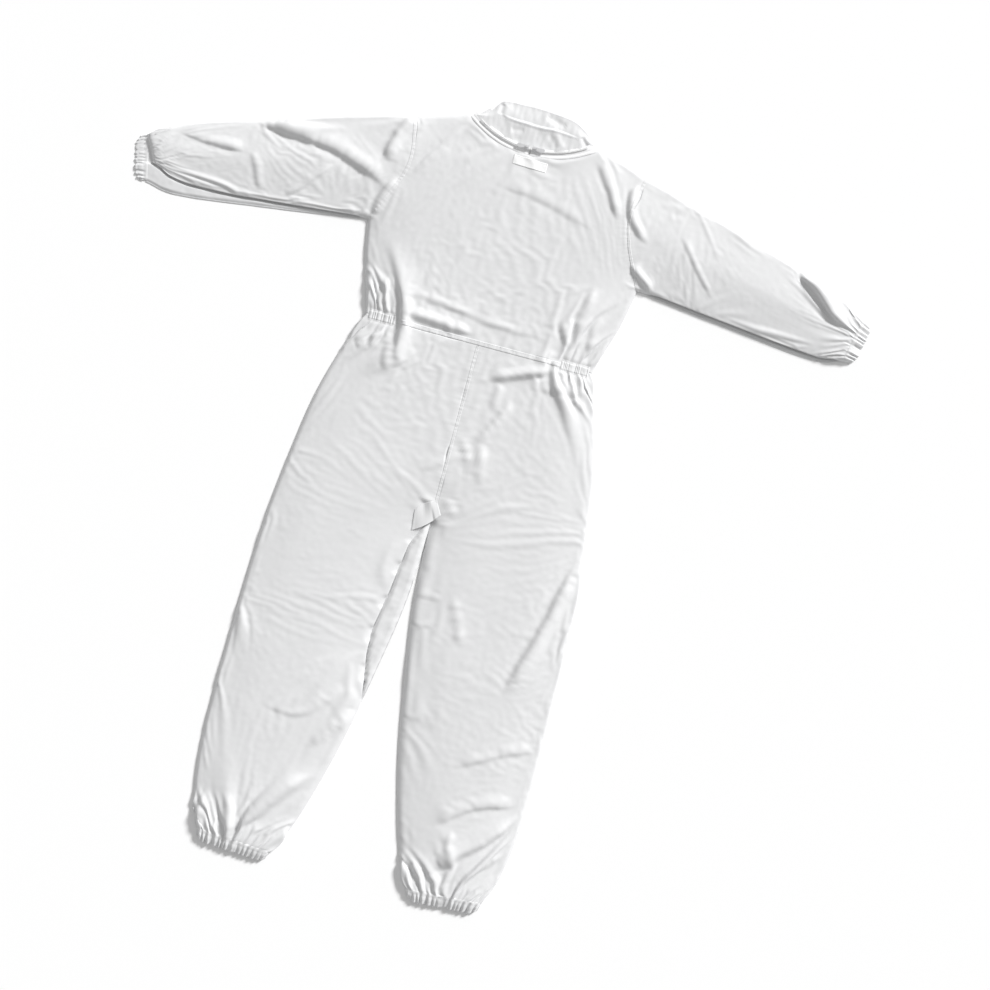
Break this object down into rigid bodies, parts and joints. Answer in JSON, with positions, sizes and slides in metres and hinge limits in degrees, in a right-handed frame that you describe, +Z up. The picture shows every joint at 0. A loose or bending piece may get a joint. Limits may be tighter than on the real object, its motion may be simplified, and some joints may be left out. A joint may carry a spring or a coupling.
{
  "type": "beekeeping suit",
  "caption": "One-piece beekeeping coverall laid face down, with gathered waist, wrists and ankles, stand collar, hood zips round the neck and a full-length front zip.",
  "frame": {"origin": "middle of the laid suit's box, on the surface it lies on", "axes": "+Y from the feet to the collar, +X to the wearer's right, +Z up out of the suit's back, which faces up"},
  "size_m": [1.5234, 1.5978, 0.0279],
  "materials": {
    "white_cloth": "matte",
    "elastic": "matte",
    "zip_tape": "matte",
    "zip_teeth": "satin",
    "zip_metal": "satin",
    "label": "satin"
  },
  "bodies": {
    "bodice": {"back_bodice": "white_cloth", "chest_pocket": "white_cloth", "collar_back": "white_cloth", "collar_front_left": "white_cloth", "collar_front_right": "white_cloth", "front_bodice_left": "white_cloth", "front_bodice_right": "white_cloth", "front_zip_bottom_stop": "zip_metal", "front_zip_tape_left": "zip_tape", "front_zip_tape_right": "zip_tape", "front_zip_teeth_left": "zip_teeth", "front_zip_teeth_right": "zip_teeth", "front_zip_top_stop_left": "zip_metal", "front_zip_top_stop_right": "zip_metal", "hip_pocket_left": "white_cloth", "hip_pocket_right": "white_cloth", "neck_label": "label", "neck_zip_box_left": "zip_teeth", "neck_zip_box_right": "zip_teeth", "neck_zip_tape_left": "zip_tape", "neck_zip_tape_right": "zip_tape", "neck_zip_teeth_left": "zip_teeth", "neck_zip_teeth_right": "zip_teeth", "waist_casing": "white_cloth", "waist_elastic_left": "elastic", "waist_elastic_right": "elastic", "zip_guard": "white_cloth"},
    "sleeve_left": {"sleeve_left": "white_cloth", "sleeve_cuff_left": "white_cloth", "sleeve_elastic_left": "elastic"},
    "sleeve_right": {"sleeve_right": "white_cloth", "sleeve_cuff_right": "white_cloth", "sleeve_elastic_right": "elastic"},
    "leg_left": {"trouser_back_left": "white_cloth", "trouser_front_left": "white_cloth", "leg_cuff_left": "white_cloth", "leg_elastic_left": "elastic"},
    "leg_right": {"trouser_back_right": "white_cloth", "trouser_front_right": "white_cloth", "leg_cuff_right": "white_cloth", "leg_elastic_right": "elastic"},
    "front_slider": {"front_zip_slider": "zip_metal"},
    "front_pull": {"front_zip_pull": "zip_metal"},
    "neck_slider_left": {"neck_zip_slider_left": "zip_metal"},
    "neck_pull_left": {"neck_zip_pull_left": "zip_metal"},
    "neck_slider_right": {"neck_zip_slider_right": "zip_metal"},
    "neck_pull_right": {"neck_zip_pull_right": "zip_metal"}
  },
  "joints": [
    {"name": "shoulder_left_swing", "type": "hinge", "parent": "bodice", "child": "sleeve_left", "pos_m": [-0.23672, 0.61288, 0], "axis": [0, 0, 1], "range_deg": [-25, 30], "deforming": ["sleeve_left"]},
    {"name": "hip_left_swing", "type": "hinge", "parent": "bodice", "child": "leg_left", "pos_m": [-0.15172, -0.06212, 0], "axis": [0, 0, 1], "range_deg": [-12, 3], "deforming": ["trouser_back_left", "trouser_front_left"]},
    {"name": "shoulder_right_swing", "type": "hinge", "parent": "bodice", "child": "sleeve_right", "pos_m": [0.25328, 0.61288, 0], "axis": [0, 0, 1], "range_deg": [-30, 25], "deforming": ["sleeve_right"]},
    {"name": "hip_right_swing", "type": "hinge", "parent": "bodice", "child": "leg_right", "pos_m": [0.16828, -0.06212, 0], "axis": [0, 0, 1], "range_deg": [-3, 12], "deforming": ["trouser_back_right", "trouser_front_right"]},
    {"name": "front_zip_slide", "type": "slide", "parent": "bodice", "child": "front_slider", "axis": [0, -1, 0], "range_m": [0, 0.63]},
    {"name": "front_pull_swing", "type": "hinge", "parent": "front_slider", "child": "front_pull", "pos_m": [0.00828, 0.72188, 0.0029], "axis": [1, 0, 0], "range_deg": [0, 120]},
    {"name": "neck_slider_left_travel", "type": "hinge", "parent": "bodice", "child": "neck_slider_left", "pos_m": [0.00828, 0.91588, 0.0171], "axis": [0, 0, 1], "range_deg": [-27.6, 0]},
    {"name": "neck_pull_left_swing", "type": "hinge", "parent": "neck_slider_left", "child": "neck_pull_left", "pos_m": [-0.00007, 0.71655, 0.0204], "axis": [0.0419, 0.9991, 0], "range_deg": [0, 55]},
    {"name": "neck_slider_right_travel", "type": "hinge", "parent": "bodice", "child": "neck_slider_right", "pos_m": [0.00828, 0.91588, 0.0171], "axis": [0, 0, 1], "range_deg": [0, 27.6]},
    {"name": "neck_pull_right_swing", "type": "hinge", "parent": "neck_slider_right", "child": "neck_pull_right", "pos_m": [0.01664, 0.71655, 0.0204], "axis": [0.0419, -0.9991, 0], "range_deg": [0, 55]}
  ]
}
